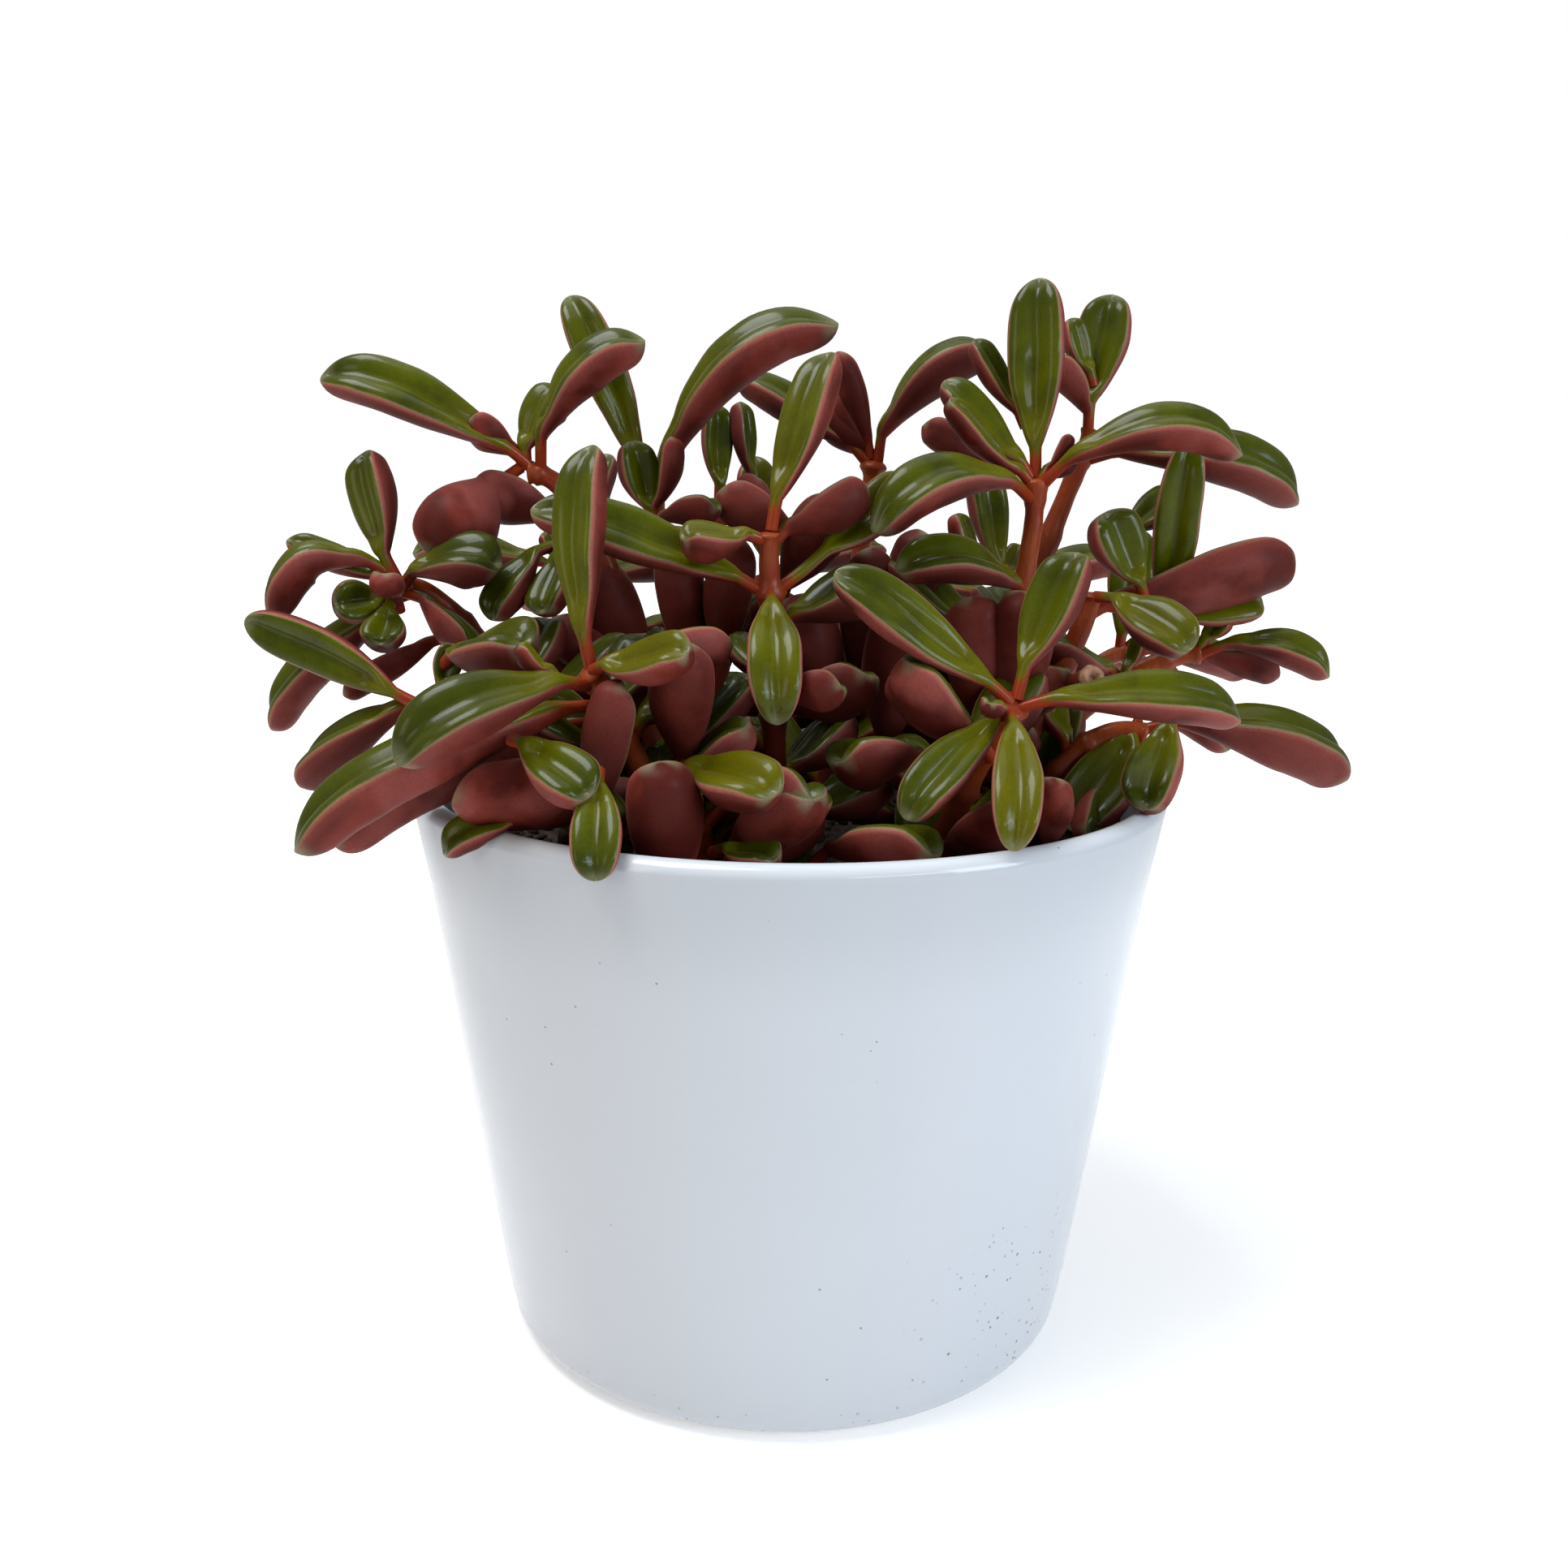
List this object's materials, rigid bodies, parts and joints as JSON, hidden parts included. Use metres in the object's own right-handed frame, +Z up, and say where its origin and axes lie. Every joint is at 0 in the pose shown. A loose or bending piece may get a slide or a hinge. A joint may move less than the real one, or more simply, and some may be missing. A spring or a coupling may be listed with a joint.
{
  "type": "potted peperomia",
  "caption": "Bushy potted peperomia: boat-shaped fleshy leaves, green above and wine-red below, on red stems in a grow pot inside a tapered white glazed cover pot.",
  "frame": {"origin": "the middle of the cover pot's flat underside", "axes": "+Z is up, the way the pot stands; -Y is the front of the plant, and +X is to the right seen from the front"},
  "size_m": [0.1953, 0.157, 0.194],
  "materials": {
    "glaze": "gloss",
    "grow_pot_plastic": "satin",
    "soil": "matte",
    "stem": "satin",
    "leaf": "satin"
  },
  "bodies": {
    "root": {"grow_pot": "grow_pot_plastic", "leaf_back_centre_1": "leaf", "leaf_back_centre_2": "leaf", "leaf_back_corner_1": "leaf", "leaf_back_corner_2": "leaf", "leaf_back_left_1": "leaf", "leaf_back_left_2": "leaf", "leaf_back_left_3": "leaf", "leaf_back_middle_1": "leaf", "leaf_back_middle_2": "leaf", "leaf_back_right_1": "leaf", "leaf_back_right_2": "leaf", "leaf_centre_1": "leaf", "leaf_centre_2": "leaf", "leaf_centre_3": "leaf", "leaf_far_left_1": "leaf", "leaf_far_left_2": "leaf", "leaf_far_right_1": "leaf", "leaf_front_left_1": "leaf", "leaf_front_left_2": "leaf", "leaf_front_left_3": "leaf", "leaf_front_low_1": "leaf", "leaf_front_low_2": "leaf", "leaf_front_right_1": "leaf", "leaf_front_right_2": "leaf", "leaf_front_right_3": "leaf", "leaf_front_right_4": "leaf", "leaf_low_left_1": "leaf", "leaf_low_left_2": "leaf", "leaf_low_right_1": "leaf", "leaf_right_1": "leaf", "leaf_right_2": "leaf", "leaf_right_middle_1": "leaf", "leaf_tall_left_1": "leaf", "leaf_tall_left_2": "leaf", "leaf_tall_right_1": "leaf", "leaf_tall_right_2": "leaf", "leaf_tall_right_3": "leaf", "leaf_upper_left_1": "leaf", "leaf_upper_left_2": "leaf", "pot": "glaze", "soil": "soil", "stem_back_centre": "stem", "stem_back_corner": "stem", "stem_back_left": "stem", "stem_back_middle": "stem", "stem_back_right": "stem", "stem_centre": "stem", "stem_far_left": "stem", "stem_far_right": "stem", "stem_front_left": "stem", "stem_front_low": "stem", "stem_front_right": "stem", "stem_low_left": "stem", "stem_low_right": "stem", "stem_right": "stem", "stem_right_middle": "stem", "stem_tall_left": "stem", "stem_tall_right": "stem", "stem_upper_left": "stem"}
  },
  "joints": []
}
